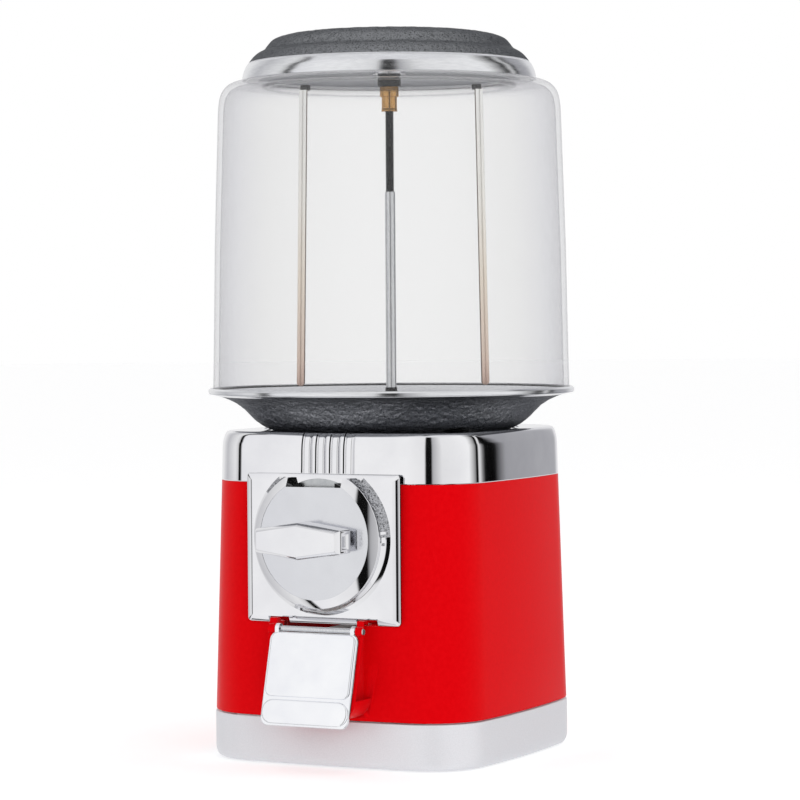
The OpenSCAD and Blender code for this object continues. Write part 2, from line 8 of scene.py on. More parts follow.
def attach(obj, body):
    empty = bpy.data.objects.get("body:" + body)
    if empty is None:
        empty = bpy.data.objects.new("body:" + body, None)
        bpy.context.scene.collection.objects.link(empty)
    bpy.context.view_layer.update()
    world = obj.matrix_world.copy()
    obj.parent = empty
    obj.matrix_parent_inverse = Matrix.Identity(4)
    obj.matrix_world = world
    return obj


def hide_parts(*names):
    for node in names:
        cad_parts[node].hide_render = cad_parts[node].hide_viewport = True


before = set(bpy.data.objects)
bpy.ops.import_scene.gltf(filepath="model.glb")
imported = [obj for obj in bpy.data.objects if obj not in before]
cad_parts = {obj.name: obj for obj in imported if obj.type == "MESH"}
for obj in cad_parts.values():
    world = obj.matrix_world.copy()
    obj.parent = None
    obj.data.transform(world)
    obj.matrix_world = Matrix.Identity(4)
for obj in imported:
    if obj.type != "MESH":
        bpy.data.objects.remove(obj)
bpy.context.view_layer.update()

MM = 0.001
scene = bpy.context.scene
scene.view_settings.view_transform = "Standard"


def srgb(code):
    """Linear colour, with alpha, of an sRGB hex code."""
    parts = [int(code[i:i + 2], 16) / 255 for i in (1, 3, 5)]
    return [p / 12.92 if p <= 0.04045 else ((p + 0.055) / 1.055) ** 2.4 for p in parts] + [1.0]


# ---------------------------------------------------------------- camera, floor and light

AIM = math.radians(27.0)  # the machine is seen from its right front
camera = bpy.data.objects.new("camera", bpy.data.cameras.new("camera"))
scene.collection.objects.link(camera)
scene.camera = camera
camera.data.sensor_width = 36
camera.data.lens = 142.33
camera.data.clip_start, camera.data.clip_end = 0.1, 60
camera.matrix_world = (
    Matrix.Translation((1.81464 * math.sin(AIM), -1.81464 * math.cos(AIM), 0.25184))
    @ Matrix.Rotation(AIM, 4, "Z")
    @ Matrix.Rotation(math.radians(90 - 1.617), 4, "X")
    @ Matrix.Rotation(math.radians(-0.155), 4, "Y")
    @ Matrix.Rotation(math.radians(-0.41), 4, "Z"))


# ---------------------------------------------------------------- nodes

def add(tree, kind, inputs=(), **settings):
    """A new node with its settings; an input given as a socket is linked, others are set."""
    node = tree.nodes.new(kind)
    for key, value in settings.items():
        setattr(node, key, value)
    for key, value in dict(inputs).items():
        if isinstance(value, bpy.types.NodeSocket):
            tree.links.new(value, node.inputs[key])
        else:
            node.inputs[key].default_value = value
    return node


def ramp(tree, factor, stops):
    """The colour of a ramp over (place, hex colour) stops."""
    node = add(tree, "ShaderNodeValToRGB", {"Fac": factor})
    elements = node.color_ramp.elements
    while len(elements) < len(stops):
        elements.new(0.5)
    for element, (place, colour) in zip(elements, stops):
        element.position = place
        element.color = srgb(colour)
    return node.outputs["Color"]


def make_studio():
    """A plain white studio. Mirrors also see the dark gaps between its big soft panels."""
    world = bpy.data.worlds.new("studio")
    scene.world = world
    world.use_nodes = True
    tree = world.node_tree
    tree.nodes.clear()
    way = add(tree, "ShaderNodeTexCoord").outputs["Generated"]
    part = add(tree, "ShaderNodeSeparateXYZ", {0: way})
    forward = add(tree, "ShaderNodeMath", {0: part.outputs["Y"], 1: -1.0}, operation="MULTIPLY")
    azimuth = add(tree, "ShaderNodeMath", {0: part.outputs["X"], 1: forward.outputs[0]},
                  operation="ARCTAN2")
    rise = add(tree, "ShaderNodeMath", {0: part.outputs["Z"]}, operation="ARCSINE")

    def share(socket, low, high):
        """A number of radians as a share of the way from low to high degrees."""
        return add(tree, "ShaderNodeMapRange", {
            "Value": socket, "From Min": math.radians(low), "From Max": math.radians(high)},
            ).outputs["Result"]

    def circle(*stops):
        """Colours round the horizon, at azimuths in degrees."""
        turn = share(azimuth.outputs[0], -180, 180)
        return ramp(tree, turn, [((angle + 180) / 360, colour) for angle, colour in stops])

    level = circle(
        (-180, "#e8e8ea"), (-125, "#f4f4f4"), (-100, "#c9c9cc"), (-72, "#f2f2f2"), (-64, "#d8d8d8"),
        (-62, "#0a0a0a"), (-57, "#0a0a0a"), (-54, "#f6f6f8"), (-20, "#ffffff"), (18, "#f4f4f4"),
        (21, "#101010"), (31, "#101010"), (34, "#b9b9bb"), (52, "#f4f4f4"), (110, "#ffffff"),
        (128, "#8c8c8c"), (131, "#060606"), (136, "#060606"), (138, "#e6e6e6"), (142, "#e6e6e6"),
        (144, "#060606"), (148, "#060606"), (150, "#a4a4a8"), (168, "#b4b4b8"), (180, "#e8e8ea"))
    high = circle((-180, "#dededf"), (-66, "#e8e8ea"), (36, "#f0f0f2"), (180, "#dededf"))
    over = circle((-180, "#cfcfd2"), (-40, "#f2f2f2"), (60, "#f8f8f8"), (180, "#cfcfd2"))
    lower = add(tree, "ShaderNodeMix", {
        "Factor": share(rise.outputs[0], 46, 52), "A": level, "B": high}, data_type="RGBA")
    seen = add(tree, "ShaderNodeMix", {
        "Factor": share(rise.outputs[0], 66, 76), "A": lower.outputs[2], "B": over},
        data_type="RGBA")
    mirrored = add(tree, "ShaderNodeBackground", {"Color": seen.outputs[2], "Strength": 1.0})
    plain = add(tree, "ShaderNodeBackground", {"Color": srgb("#ffffff"), "Strength": 1.0})
    lit = add(tree, "ShaderNodeBackground", {"Color": srgb("#ffffff"), "Strength": 0.66})
    path = add(tree, "ShaderNodeLightPath")
    dim = add(tree, "ShaderNodeMixShader", {
        0: path.outputs["Is Diffuse Ray"], 1: plain.outputs[0], 2: lit.outputs[0]})
    both = add(tree, "ShaderNodeMixShader", {
        0: path.outputs["Is Glossy Ray"], 1: dim.outputs[0], 2: mirrored.outputs[0]})
    add(tree, "ShaderNodeOutputWorld", {"Surface": both.outputs[0]})


def soft_light(name, place, size, watts):
    """A square area light that faces the machine's middle."""
    light = bpy.data.lights.new(name, "AREA")
    light.energy = watts
    light.size = size
    obj = bpy.data.objects.new(name, light)
    scene.collection.objects.link(obj)
    obj.location = place
    obj.rotation_euler = (Vector((0, 0, 0.2)) - Vector(place)).to_track_quat("-Z", "Y").to_euler()
    obj.visible_camera = obj.visible_glossy = False


make_studio()
soft_light("key light", (-1.0, -1.6, 1.3), 1.0, 2.6)
soft_light("fill light", (1.5, -1.3, 1.0), 1.2, 8)
soft_light("top light", (0.2, 0.3, 2.0), 1.2, 5)


# ---------------------------------------------------------------- materials

def finish(name, colour, other, metallic, roughness, grain, relief=0.0, spread=0.04,
           stretch=(1, 1, 1), more=()):
    """A surface whose colour drifts between two tones over a grain of that many millimetres,
    whose roughness changes by spread and whose skin rises by relief millimetres."""
    material = bpy.data.materials.new(name)
    material.use_nodes = True
    tree = material.node_tree
    tree.nodes.clear()
    place = add(tree, "ShaderNodeTexCoord").outputs["Object"]
    spot = add(tree, "ShaderNodeMapping", {"Vector": place, "Scale": stretch}).outputs[0]
    grains = add(tree, "ShaderNodeTexNoise", {"Vector": spot, "Scale": 1 / (grain * MM),
                                              "Detail": 4.0, "Roughness": 0.55}).outputs["Fac"]
    tone = ramp(tree, grains, [(0.3, colour), (0.7, other)])
    dull = add(tree, "ShaderNodeMapRange", {
        "Value": grains, "From Min": 0.3, "From Max": 0.7,
        "To Min": roughness - spread / 2, "To Max": roughness + spread / 2}).outputs["Result"]
    shader = add(tree, "ShaderNodeBsdfPrincipled", {
        "Base Color": tone, "Metallic": metallic, "Roughness": dull, **dict(more)})
    if relief:
        rise = add(tree, "ShaderNodeBump", {"Height": grains, "Distance": relief * MM,
                                            "Strength": 1.0})
        tree.links.new(rise.outputs[0], shader.inputs["Normal"])
    add(tree, "ShaderNodeOutputMaterial", {"Surface": shader.outputs[0]})
    return material


def hammered(name, colour, pit, roughness, dent, relief, fine):
    """Cast metal with a hammered skin: round dents, small pits between them and a fine grain."""
    material = bpy.data.materials.new(name)
    material.use_nodes = True
    tree = material.node_tree
    tree.nodes.clear()
    place = add(tree, "ShaderNodeTexCoord").outputs["Object"]
    drift = add(tree, "ShaderNodeTexNoise", {"Vector": place, "Scale": 0.5 / (dent * MM),
                                             "Detail": 2.0})
    bent = add(tree, "ShaderNodeMix", {"Factor": 0.004, "A": place, "B": drift.outputs["Color"]},
               data_type="VECTOR").outputs[1]
    dents = add(tree, "ShaderNodeTexVoronoi", {"Vector": bent, "Scale": 1 / (dent * MM)},
                feature="SMOOTH_F1").outputs["Distance"]
    grains = add(tree, "ShaderNodeTexNoise", {"Vector": place, "Scale": 1 / (fine * MM),
                                              "Detail": 6.0, "Roughness": 0.7}).outputs["Fac"]
    height = add(tree, "ShaderNodeMath", {0: grains, 1: 0.8, 2: dents}, operation="MULTIPLY_ADD")
    tone = ramp(tree, grains, [(0.36, pit), (0.5, colour)])
    dull = add(tree, "ShaderNodeMapRange", {
        "Value": grains, "From Min": 0.3, "From Max": 0.6,
        "To Min": roughness + 0.15, "To Max": roughness}).outputs["Result"]
    rise = add(tree, "ShaderNodeBump", {"Height": height.outputs[0], "Distance": relief * MM,
                                        "Strength": 1.0})
    shader = add(tree, "ShaderNodeBsdfPrincipled", {
        "Base Color": tone, "Metallic": 1.0, "Roughness": dull, "Normal": rise.outputs[0],
        "Specular Tint": srgb("#8c8c8e")})
    add(tree, "ShaderNodeOutputMaterial", {"Surface": shader.outputs[0]})
    return material


def clear_shell(name):
    """Injection-moulded clear polycarbonate: see-through face on, greyer and glossier at a
    glancing view, as its wall then has more plastic in the way."""
    material = bpy.data.materials.new(name)
    material.use_nodes = True
    tree = material.node_tree
    tree.nodes.clear()
    place = add(tree, "ShaderNodeTexCoord").outputs["Object"]
    haze = add(tree, "ShaderNodeTexNoise", {"Vector": place, "Scale": 14.0, "Detail": 2.0})
    dull = add(tree, "ShaderNodeMapRange", {
        "Value": haze.outputs["Fac"], "From Min": 0.3, "From Max": 0.7,
        "To Min": 0.03, "To Max": 0.07}).outputs["Result"]
    edge = add(tree, "ShaderNodeLayerWeight", {"Blend": 0.5}).outputs["Facing"]
    tint = ramp(tree, edge, [(0.0, "#fbfbfb"), (0.3, "#f9f9f9"), (0.6, "#f5f5f6"),
                             (0.85, "#efeff0"), (0.97, "#d4d4d6"), (1.0, "#88888c")])
    through = add(tree, "ShaderNodeBsdfTransparent", {"Color": tint})
    gloss = add(tree, "ShaderNodeBsdfPrincipled", {
        "Base Color": srgb("#efeff0"), "Metallic": 0.0, "Roughness": dull, "IOR": 1.585})
    amount = ramp(tree, edge, [(0.0, "#303030"), (0.5, "#3a3a3a"), (0.8, "#707070"),
                               (1.0, "#c0c0c0")])
    both = add(tree, "ShaderNodeMixShader", {0: amount, 1: through.outputs[0],
                                             2: gloss.outputs[0]})
    add(tree, "ShaderNodeOutputMaterial", {"Surface": both.outputs[0]})
    return material


def rail_plastic(name):
    """Extruded milky acrylic: white higher up, warmer towards the foot, with painted shade on its side
    faces, darker the more edge-on they are seen.
    """
    material = bpy.data.materials.new(name)
    material.use_nodes = True
    tree = material.node_tree
    tree.nodes.clear()
    place = add(tree, "ShaderNodeTexCoord").outputs["Object"]
    height = add(tree, "ShaderNodeSeparateXYZ", {0: place}).outputs["Z"]
    climb = add(tree, "ShaderNodeMapRange", {"Value": height, "From Min": 0.211,
                                             "From Max": 0.373}).outputs["Result"]
    tone = ramp(tree, climb, [(0.0, "#c4a597"), (0.1, "#dcc6b6"), (0.35, "#ece0d0"),
                              (0.62, "#f4f1ea"), (1.0, "#f2f2f0")])
    edge = add(tree, "ShaderNodeLayerWeight", {"Blend": 0.5}).outputs["Facing"]
    # Painted shade: faces seen edge-on, the rail's sides and groove walls, are darkened towards
    # brown-black.
    dark = ramp(tree, edge, [(0.0, "#ffffff"), (0.28, "#f6f6f6"), (0.42, "#8c827c"),
                             (0.9, "#4a4642")])
    colour = add(tree, "ShaderNodeMix", {"Factor": 1.0, "A": tone, "B": dark},
                 data_type="RGBA", blend_type="MULTIPLY").outputs[2]
    shader = add(tree, "ShaderNodeBsdfPrincipled", {
        "Base Color": colour, "Roughness": 0.28, "IOR": 1.49, "Alpha": 1.0})
    add(tree, "ShaderNodeOutputMaterial", {"Surface": shader.outputs[0]})
    return material


# Sprayed silver paint over cast aluminium: pale, satin, with a very fine sparkle.
SILVER_PAINT = finish("satin silver paint", "#dcdde1", "#e4e5e9", 0.15, 0.42, 0.6, 0.004)
# Baked red enamel: deep and glossy, with a faint orange peel.
RED_ENAMEL = finish("baked red enamel", "#d8040c", "#de0810", 0.0, 0.34, 2.2, 0.006,
                    more={"Coat Weight": 0.0, "IOR": 1.5,
                          "Specular IOR Level": 0.07, "Specular Tint": srgb("#ff2020")})
# Chrome plate on a polished casting: mirrors the room, a little wavy.
CHROME = finish("polished chrome plate", "#e6e6e9", "#efeff1", 1.0, 0.05, 25, 0.01, 0.02)
# The same plate where it is only satin polished, on the broad flats that hands rub.
SATIN_CHROME = finish("rubbed chrome plate", "#d8d9dd", "#dddee2", 1.0, 0.15, 14, 0.006, 0.03)
# The plate of the door, polished until it is nearly white under soft light.
DOOR_CHROME = finish("bright door chrome", "#f1f2f6", "#f8f9fb", 1.0, 0.1, 14, 0.004, 0.02)
# Hammered, lacquered cast aluminium of the hopper's underside: dark with bright crests.
DARK_HAMMERED = hammered("hammered dark cast aluminium", "#a2a4a9", "#2c2d30", 0.26, 2.6, 0.6, 0.9)
# The lid's dome: the same casting left brighter.
BRIGHT_HAMMERED = hammered("hammered bright cast aluminium", "#8f9194", "#242527", 0.32, 2.4,
                           0.5, 0.8)
# Rough cast rim round the coin mechanism, plated without polishing. It is laid only on the rim's upper
# right and above the slot's left end, so its dark pits there are partly painted shade.
ROUGH_SHADED_CHROME = hammered("unpolished cast chrome, painted shade", "#c4c5c9", "#17171a", 0.16, 1.9, 0.7, 1.1)
# Turned and buffed aluminium of the lid's band and the hopper's lip.
BUFFED = finish("buffed aluminium", "#dcdde0", "#e8e9eb", 1.0, 0.16, 1.2, 0.004, 0.06,
                stretch=(0.25, 0.25, 2.0))
# Drawn bright steel of the rod and pins: brushed along its length.
BRIGHT_STEEL = finish("drawn bright steel", "#c6c8cb", "#dfe0e2", 1.0, 0.18, 0.5, 0.003, 0.08,
                      stretch=(1, 1, 0.05))
# Black oxide steel of the threaded stud and screws.
BLACK_STEEL = finish("black oxide steel", "#161617", "#232325", 0.85, 0.38, 0.8, 0.006, 0.1)
# Zinc-plated sheet steel: greyish with a patchy bloom.
ZINC = finish("zinc plated sheet steel", "#b3b6b9", "#cfd1d2", 1.0, 0.34, 4, 0.004, 0.16)
# Spring wire.
SPRING = finish("spring steel wire", "#8b8d90", "#a5a7a9", 1.0, 0.25, 0.6, 0.003)
# Cut brass of the gears and the lid nut.
BRASS = finish("cut brass", "#b98a4e", "#d3a76c", 1.0, 0.14, 0.7, 0.003, 0.06)
# Moulded white acetal of the dispensing wheel.
ACETAL = finish("moulded white acetal", "#e9e8e3", "#f3f2ee", 0.0, 0.38, 3, 0.01, more={"IOR": 1.48})
# Nitrile rubber of seals and feet: matt black.
RUBBER = finish("black nitrile rubber", "#0b0b0c", "#161617", 0.0, 0.62, 0.9, 0.02)
# Moulded silicone of the lid's seal: milky and soft.
SILICONE = finish("milky silicone", "#dcdcde", "#e8e8ea", 0.0, 0.4, 1.5, 0.01, more={"IOR": 1.43})
# The lid's inside: bare, evenly grey casting skin.
BARE_CAST = finish("bare cast aluminium", "#d4d5d8", "#e0e1e4", 0.3, 0.5, 0.9, 0.02)
CLEAR = clear_shell("clear polycarbonate")
RAIL = rail_plastic("milky acrylic rail")
# Matt white studio floor.
FLOOR = finish("matt white floor", "#e6e6e7", "#eaeaea", 0.0, 0.9, 30,
               more={"Emission Color": srgb("#ffffff"), "Emission Strength": 0.4})


# ---------------------------------------------------------------- shapes

def shape(name, mesh_data, crease=32, at=Matrix.Identity(4)):
    """An object from points in millimetres and faces, with edges sharper than crease crisp."""
    points, faces = mesh_data
    mesh = bpy.data.meshes.new(name)
    mesh.from_pydata([at @ Vector(p) * MM for p in points], [], faces)
    obj = bpy.data.objects.new(name, mesh)
    scene.collection.objects.link(obj)
    return tidy(obj, crease)


def tidy(obj, crease=32):
    """Merges doubled points, turns faces outwards and shades smooth up to a crease angle."""
    net = bmesh.new()
    net.from_mesh(obj.data)
    bmesh.ops.remove_doubles(net, verts=net.verts, dist=1e-6)
    bmesh.ops.dissolve_degenerate(net, edges=net.edges, dist=1e-7)
    bmesh.ops.recalc_face_normals(net, faces=net.faces)
    net.to_mesh(obj.data)
    net.free()
    obj.data.shade_smooth()
    obj.data.set_sharp_from_angle(angle=math.radians(crease))
    return obj


def bake(obj):
    """Turns an object's modifiers into its own mesh."""
    depsgraph = bpy.context.evaluated_depsgraph_get()
    mesh = bpy.data.meshes.new_from_object(obj.evaluated_get(depsgraph), depsgraph=depsgraph)
    obj.modifiers.clear()
    obj.data = mesh
    return obj


def carve(obj, *tools, join=False, crease=32):
    """Cuts the tools out of obj, or joins them to it. The tools are used up."""
    for tool in tools:
        cut = obj.modifiers.new("carve", "BOOLEAN")
        cut.operation = "UNION" if join else "DIFFERENCE"
        cut.solver = "EXACT"
        cut.object = tool
        bake(obj)
        bpy.data.objects.remove(tool)
    return tidy(obj, crease)


def soften(obj, width, segments=3, over=40, crease=32):
    """Rounds an object's edges that are sharper than over degrees."""
    bevel = obj.modifiers.new("soften", "BEVEL")
    bevel.width, bevel.segments = width * MM, segments
    bevel.limit_method, bevel.angle_limit = "ANGLE", math.radians(over)
    bevel.use_clamp_overlap = True
    bake(obj)
    return tidy(obj, crease)


def join(name, *objs):
    """One object from several."""
    net = bmesh.new()
    for obj in objs:
        net.from_mesh(obj.data)
        bpy.data.objects.remove(obj)
    mesh = bpy.data.meshes.new(name)
    net.to_mesh(mesh)
    net.free()
    whole = bpy.data.objects.new(name, mesh)
    scene.collection.objects.link(whole)
    return whole


def loft(rings, loop=False):
    """Skin over rings of equal length, with both ends capped or the last joined to the first."""
    n, count = len(rings[0]), len(rings)
    faces = []
    for k in range(count if loop else count - 1):
        a, b = k * n, (k + 1) % count * n
        faces += [(a + i, a + (i + 1) % n, b + (i + 1) % n, b + i) for i in range(n)]
    if not loop:
        faces += [tuple(range(n - 1, -1, -1)), tuple(range((count - 1) * n, count * n))]
    return [p for ring in rings for p in ring], faces


def lathe(profile, steps=128):
    """A closed profile of (radius, height) turned about Z; zero radius is a pole."""
    points, rows = [], []
    for r, z in profile:
        first = len(points)
        if r < 1e-6:
            points.append((0, 0, z))
            rows.append([first] * steps)
        else:
            points += [(r * math.cos(2 * math.pi * i / steps),
                        r * math.sin(2 * math.pi * i / steps), z) for i in range(steps)]
            rows.append(list(range(first, first + steps)))
    faces = []
    for a, b in zip(rows, rows[1:] + rows[:1]):
        for i in range(steps):
            j = (i + 1) % steps
            face = tuple(dict.fromkeys((a[i], a[j], b[j], b[i])))
            if len(face) > 2:
                faces.append(face)
    return points, faces


def rounded(corners, radius, steps=4):
    """A closed outline whose corners are turned into arcs. A corner may give its own radius."""
    outline = []
    for i, corner in enumerate(corners):
        here = Vector(corner[:2])
        back = Vector(corners[i - 1][:2]) - here
        on = Vector(corners[(i + 1) % len(corners)][:2]) - here
        own = corner[2] if len(corner) > 2 else radius
        turn = math.pi - back.angle(on)
        reach = min(own * math.tan(turn / 2), 0.45 * back.length, 0.45 * on.length)
        if own == 0 or turn < 0.05:
            outline.append(tuple(here))
            continue
        a, b = here + back.normalized() * reach, here + on.normalized() * reach
        for k in range(steps + 1):
            t = k / steps
            outline.append(tuple(a * (1 - t) ** 2 + here * 2 * t * (1 - t) + b * t * t))
    return outline


def flowing(points, steps=6):
    """A smooth curve through points of (radius, height)."""
    ends = [points[0], *points, points[-1]]
    curve = []
    for a, b, c, d in zip(ends, ends[1:], ends[2:], ends[3:]):
        a, b, c, d = map(Vector, (a, b, c, d))
        for k in range(steps):
            t = k / steps
            curve.append(tuple(0.5 * (2 * b + (c - a) * t + (2 * a - 5 * b + 4 * c - d) * t * t
                                      + (3 * b - a - 3 * c + d) * t ** 3)))
    return curve + [tuple(points[-1])]


def bowed_square(half, corner, z, bulge=2.4, side_steps=18, corner_steps=20):
    """Ring round a square with bowed sides and round corners."""
    core = half - corner
    radius = (core * core + bulge * bulge) / (2 * bulge)
    centre = radius - core
    k = radius - core
    reach = (math.sqrt(2 * radius * radius - k * k) - k) / 2
    spread = math.atan2(reach, reach + centre)
    side = []
    for i in range(side_steps + 1):
        a = spread * (2 * i / side_steps - 1)
        side.append(((radius + corner) * math.sin(a), centre - (radius + corner) * math.cos(a)))
    for i in range(1, corner_steps):
        a = spread - math.pi / 2 + (math.pi / 2 - 2 * spread) * i / corner_steps
        side.append((reach + corner * math.cos(a), corner * math.sin(a) - reach))
    ring = []
    for x, y in [(1, 0), (0, 1), (-1, 0), (0, -1)]:
        ring += [(px * x - py * y, px * y + py * x, z) for px, py in side]
    return ring


def block(low, high):
    """A box from corner to corner, used to cut with."""
    (x0, y0, z0), (x1, y1, z1) = low, high
    return shape("tool", loft([[(x0, y0, z), (x1, y0, z), (x1, y1, z), (x0, y1, z)]
                               for z in (z0, z1)]))


def bar(radius, low, high, x=0, y=0, steps=64):
    """An upright cylinder."""
    return shape("tool", lathe([(0, low), (radius, low), (radius, high), (0, high)], steps),
                 at=Matrix.Translation((x, y, 0)))


def facing_front(x, z):
    """Turns a shape made about Z to point forwards along -Y from (x, z)."""
    return Matrix.Translation((x, 0, z)) @ Matrix.Rotation(math.pi / 2, 4, "X")


def round_rectangle(width, height, radius, centre=(0, 0), steps=8):
    """Counter-clockwise outline of (x, z)."""
    outline = []
    for sx, sz, start in [(1, -1, -90), (1, 1, 0), (-1, 1, 90), (-1, -1, 180)]:
        for k in range(steps + 1):
            a = math.radians(start + 90 * k / steps)
            outline.append((centre[0] + sx * (width / 2 - radius) + radius * math.cos(a),
                            centre[1] + sz * (height / 2 - radius) + radius * math.sin(a)))
    return outline


def panel(width, height, radius, centre, levels, steps=8):
    """Skin over round-cornered rectangles of (x, z), one for each (inset, front) level."""
    return loft([[(x, -front, z) for x, z in round_rectangle(
        width - 2 * inset, height - 2 * inset, max(radius - inset, 0.2), centre, steps)]
        for inset, front in levels])


def paint(obj, index, where):
    """Gives the faces where(centre in millimetres, normal) says a material by its index."""
    for face in obj.data.polygons:
        if where(face.center / MM, face.normal):
            face.material_index = index


def dent(obj, size, depth, where):
    """Presses a hammered skin into a mesh, up to depth millimetres over dents of that size."""
    mesh = obj.data
    moved = []
    for v in mesh.vertices:
        p = v.co / MM
        share = where(p)
        hollow = noise.voronoi(p / size, distance_metric="DISTANCE")[0][0]
        moved.append(v.co - v.normal * share * depth * MM * max(0.0, 1 - 1.4 * hollow))
    for v, co in zip(mesh.vertices, moved):
        v.co = co


def place(obj, body, slot, materials, *nodes):
    """Finishes a piece: its materials, the body it rides on and what it stands for. Its slot is not
    used.
    """
    marks = [face.material_index for face in obj.data.polygons]
    obj.data.materials.clear()
    for material in materials:
        obj.data.materials.append(material)
    obj.data.polygons.foreach_set("material_index", marks)
    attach(obj, body)
    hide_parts(*nodes)
    return obj


# ---------------------------------------------------------------- repeated shapes

def repeating_tree():
    """Geometry Nodes that put one shape on a grid of points, as real faces of one material."""
    tree = bpy.data.node_groups.new("shape on a grid", "GeometryNodeTree")
    wanted = [("Shape", "NodeSocketObject"), ("Columns", "NodeSocketInt"),
              ("Rows", "NodeSocketInt"), ("Width", "NodeSocketFloat"),
              ("Height", "NodeSocketFloat"), ("Turn", "NodeSocketRotation"),
              ("Centre", "NodeSocketVector"), ("Material", "NodeSocketMaterial")]
    for label, kind in wanted:
        tree.interface.new_socket(label, in_out="INPUT", socket_type=kind)
    tree.interface.new_socket("Geometry", in_out="OUTPUT", socket_type="NodeSocketGeometry")
    given = add(tree, "NodeGroupInput").outputs
    grid = add(tree, "GeometryNodeMeshGrid", {
        "Size X": given["Width"], "Size Y": given["Height"],
        "Vertices X": given["Columns"], "Vertices Y": given["Rows"]})
    laid = add(tree, "GeometryNodeTransform", {
        "Geometry": grid.outputs["Mesh"], "Translation": given["Centre"],
        "Rotation": given["Turn"]})
    one = add(tree, "GeometryNodeObjectInfo", {"Object": given["Shape"], "As Instance": True})
    many = add(tree, "GeometryNodeInstanceOnPoints", {
        "Points": laid.outputs[0], "Instance": one.outputs["Geometry"]})
    real = add(tree, "GeometryNodeRealizeInstances", {"Geometry": many.outputs[0]})
    dressed = add(tree, "GeometryNodeSetMaterial", {
        "Geometry": real.outputs[0], "Material": given["Material"]})
    add(tree, "NodeGroupOutput", {"Geometry": dressed.outputs[0]})
    return tree


GRID_TREE = repeating_tree()


def repeated(name, one, columns, rows, width, height, centre, material, turn=(0, 0, 0)):
    """Copies of one shape on a grid of millimetres. The single shape is used up."""
    holder = bpy.data.objects.new(name, bpy.data.meshes.new(name))
    scene.collection.objects.link(holder)
    grid = holder.modifiers.new("grid", "NODES")
    grid.node_group = GRID_TREE
    values = {"Shape": one, "Columns": columns, "Rows": rows, "Width": width * MM,
              "Height": height * MM, "Turn": turn, "Centre": [c * MM for c in centre],
              "Material": material}
    for item in GRID_TREE.interface.items_tree:
        if item.in_out == "INPUT":
            grid[item.identifier] = values[item.name]
    bake(holder)
    bpy.data.objects.remove(one)
    holder.data.polygons.foreach_set("material_index", [0] * len(holder.data.polygons))
    return tidy(holder)


# ---------------------------------------------------------------- base

BASE_HALF, BASE_CORNER, BASE_TOP = 86.2, 35.0, 26.6


def base_ring(inset, z, corner_inset=None):
    return bowed_square(BASE_HALF - inset, BASE_CORNER - (corner_inset or inset), z)


def base_casting():
    """Pan with a rolled lower edge, a lip that the housing drops over and a centre boss."""
    edge = [(3.2 * (1 - math.sin(a)), 0.8 + 6 * (1 - math.cos(a)))
            for a in [math.radians(10 * k) for k in range(10)]]
    rings = [base_ring(inset, z) for inset, z in edge]
    rings += [base_ring(0, 25.7), base_ring(0.18, 26.15), base_ring(0.6, 26.3),
              base_ring(3.2, 26.3), base_ring(3.5, 26.5), base_ring(3.5, 29.2),
              base_ring(3.8, 29.6), base_ring(5.2, 29.6), base_ring(5.5, 29.2),
              base_ring(5.5, 17.6), base_ring(3.5, 17.5), base_ring(3.5, 10)]
    rings += [base_ring(3.5 + 4 * (1 - math.cos(a)), 10 - 6 * math.sin(a), 3.5 + 3 * (1 - math.cos(a)))
              for a in [math.radians(15 * k) for k in range(1, 7)]]
    pan = shape("base_casting", loft(rings))
    boss = shape("tool", lathe(rounded([(0, 1.2, 0), (14, 1.2, 0), (14, 11.8), (0, 11.8, 0)], 1)))
    carve(pan, boss, join=True)
    carve(pan, bar(2.95, -1, 20), bar(8, -1, 6),
          block((-60, -100, 26.2), (60, -60, 31)))
    for x in (-1, 1):
        for y in (-1, 1):
            carve(pan, bar(2.75, -1, 20, 50 * x, 50 * y, 32), bar(7, -1, 2, 62 * x, 62 * y, 48))
    place(pan, "base", "base_paint", [SILVER_PAINT], "base_pan")


def feet():
    """Four round rubber pads with a soft lower edge."""
    pad = shape("tool", lathe(rounded([(0, 0, 0), (6.9, 0), (6.9, 2), (0, 2, 0)], 0.6), 48))
    pads = repeated("rubber_pads", pad, 2, 2, 124, 124, (0, 0, 0), RUBBER)
    place(pads, "base", "foot_rubber", [RUBBER], "rubber_feet")


# ---------------------------------------------------------------- housing and cap

HOUSING_BOTTOM, HOUSING_TOP = 26.6, 157.0


def housing_ring(z, inset):
    """Ring of the tapering housing at a height."""
    share = (z - HOUSING_BOTTOM) / (HOUSING_TOP - HOUSING_BOTTOM)
    half = 85.9 + (82.5 - 85.9) * share
    corner = 34.7 + (33.5 - 34.7) * share
    return bowed_square(half - inset, corner - inset, z)


def door_surround():
    """Cheeks and sill that hold the door: round-cornered below, with ears for the pin above."""
    side = [(-80, 29), (-106, 29), (-94.2, 72.5), (-92.9, 75.6), (-92.5, 77), (-92.5, 82.8),
            (-88.4, 82.8), (-87.6, 80.6), (-80, 80.6)]
    ends = [[(x, y, z) for y, z in rounded(side, 1.2)] for x in (-29.3, 29.3)]
    solid = shape("tool", loft(ends))
    pin_hub = [[(x, -92.5 + 2.7 * math.cos(a), 77 + 2.7 * math.sin(a))
                for a in [2 * math.pi * k / 32 for k in range(32)]] for x in (-29.3, 29.3)]
    carve(solid, shape("tool", loft(pin_hub)), join=True)
    keep = shape("tool", panel(58.6, 80, 11, (0, 69), [(0, 70), (0, 112)], 12))
    shared = solid.modifiers.new("shared", "BOOLEAN")
    shared.operation, shared.solver, shared.object = "INTERSECT", "EXACT", keep
    bake(solid)
    bpy.data.objects.remove(keep)
    tidy(solid)
    carve(solid, shape("tool", panel(50, 80, 8, (0, 70.8), [(0, 60), (0, 120)])))
    return soften(solid, 0.7, 3, 50)


